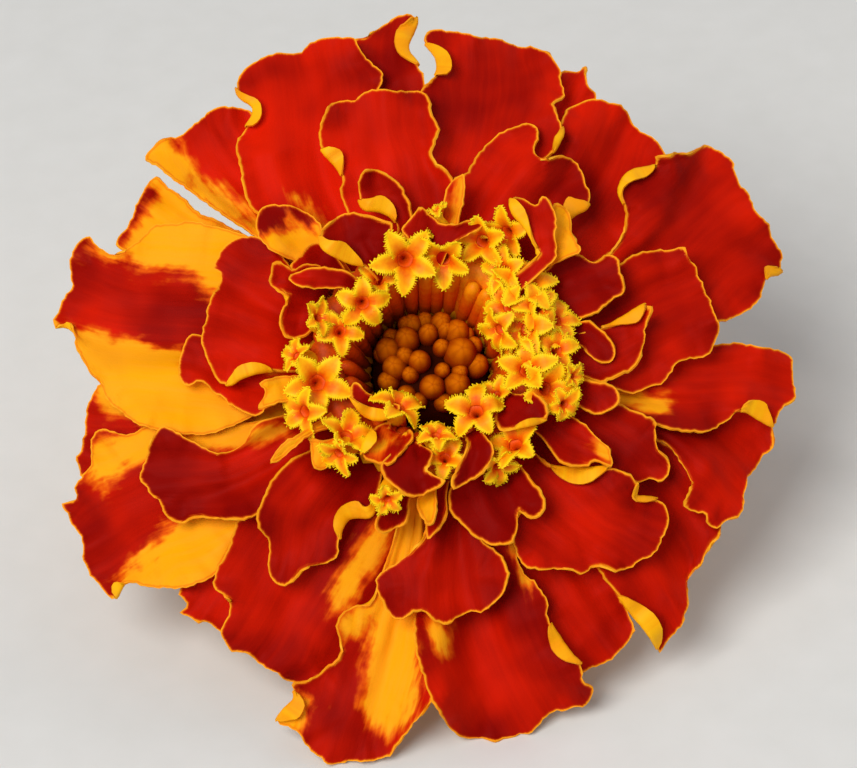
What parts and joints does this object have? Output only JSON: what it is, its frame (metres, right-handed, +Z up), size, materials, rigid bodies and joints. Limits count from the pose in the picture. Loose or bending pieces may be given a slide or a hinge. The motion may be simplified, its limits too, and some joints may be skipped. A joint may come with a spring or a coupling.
{
  "type": "marigold flower",
  "caption": "Picked French marigold bloom: layered frilled red petals edged in gold round a ring of yellow starry disc florets, on a green cup with a short cut stalk.",
  "frame": {"origin": "centre of the bounding box at the bottom, on the surface that the bloom lies on", "axes": "+Z up as it lies; the bloom's axis leans about 37 degrees from +Z towards -Y, so its face looks up and to the front; +X to the right as seen from the front"},
  "size_m": [0.055, 0.0462, 0.0343],
  "materials": {
    "peduncle": "matte green stalk, paler at the cut",
    "involucre": "smooth green bracts with dark oil glands",
    "ray_florets": "velvet red petal, gold margin and gold underside",
    "disc_florets": "soft yellow-orange floret",
    "disc_buds": "soft orange-brown bud"
  },
  "bodies": {
    "root": {"peduncle": "peduncle", "involucre": "involucre", "ray_florets": "ray_florets", "disc_florets": "disc_florets", "disc_buds": "disc_buds"}
  },
  "joints": []
}
